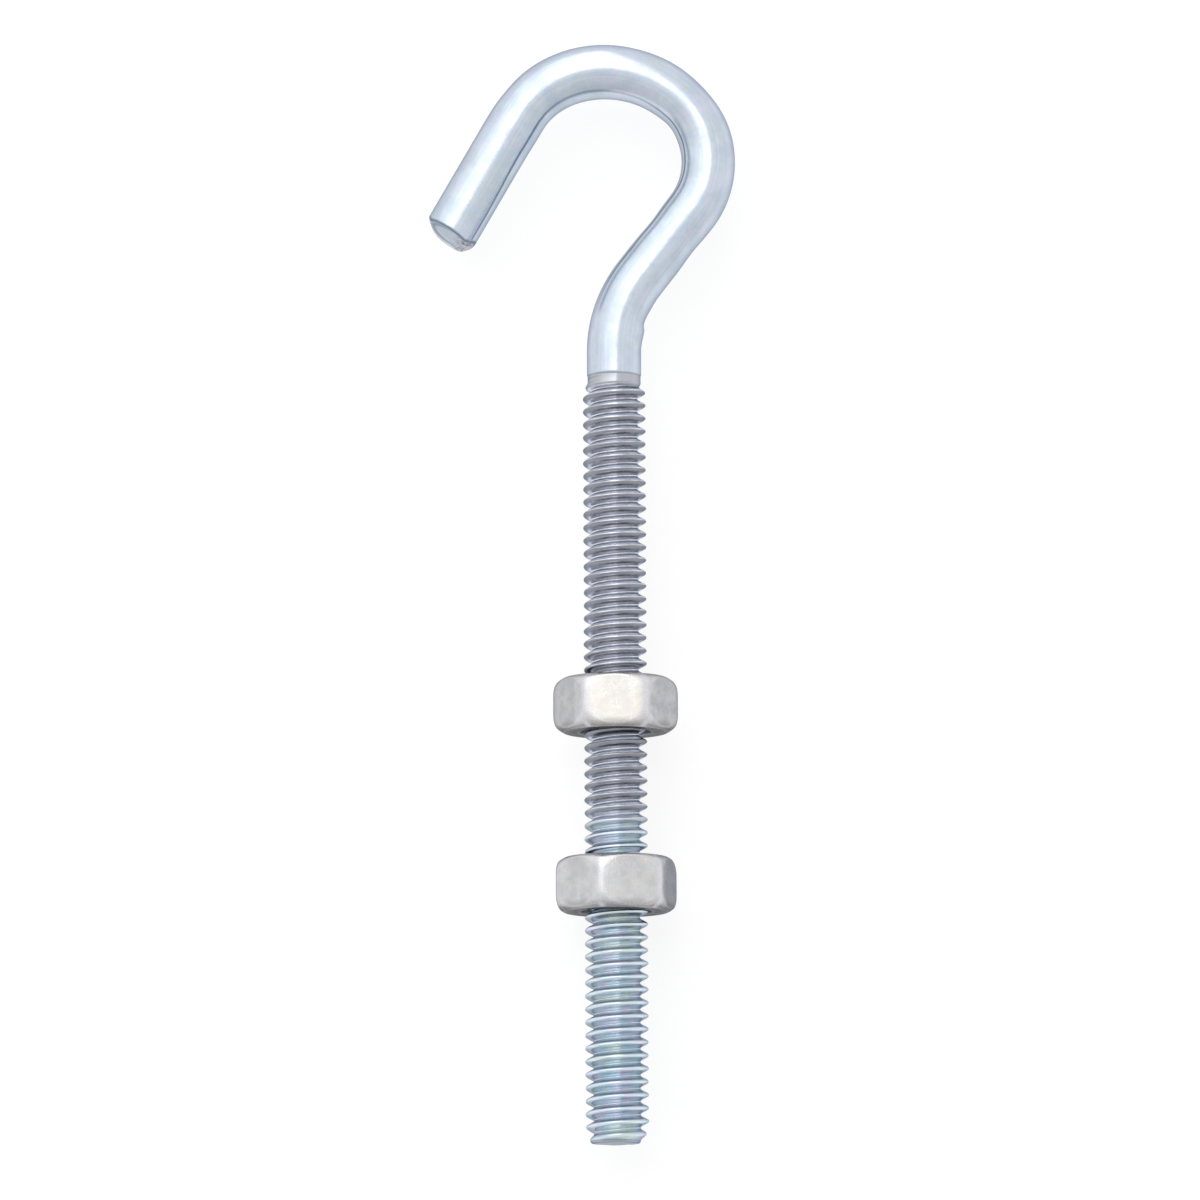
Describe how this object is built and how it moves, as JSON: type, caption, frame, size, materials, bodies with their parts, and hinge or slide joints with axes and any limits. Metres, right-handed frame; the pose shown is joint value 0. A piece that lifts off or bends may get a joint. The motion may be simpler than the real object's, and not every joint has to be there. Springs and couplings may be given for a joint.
{
  "type": "hook bolt",
  "caption": "Steel hook bolt: a threaded shank whose plain end is bent into an open hook, with hex nuts that clamp it through a bracket, lid or panel.",
  "frame": {"origin": "on the shank's axis, at the face of the threaded end", "axes": "+Y along the shank, from the threaded end to the hook; +Z square to the flat of the hook, upward as the bolt lies; +X to the side that the neck leans to, away from the tip"},
  "size_m": [0.0301, 0.108, 0.012],
  "materials": {
    "zinc_wire": "bright zinc plating, smooth on the hook and faintly iridescent on the thread",
    "zinc_nut": "bright zinc plating, slightly duller and warmer than the wire"
  },
  "bodies": {
    "bolt": {"hook_bolt": "zinc_wire"},
    "upper_nut": {"upper_nut": "zinc_nut"},
    "lower_nut": {"lower_nut": "zinc_nut"}
  },
  "joints": [
    {"name": "upper_nut_travel", "type": "slide", "parent": "bolt", "child": "upper_nut", "axis": [0, 1, 0], "range_m": [-0.00508, 0.02794]},
    {"name": "lower_nut_travel", "type": "slide", "parent": "bolt", "child": "lower_nut", "axis": [0, 1, 0], "range_m": [-0.02159, 0.00508]}
  ]
}
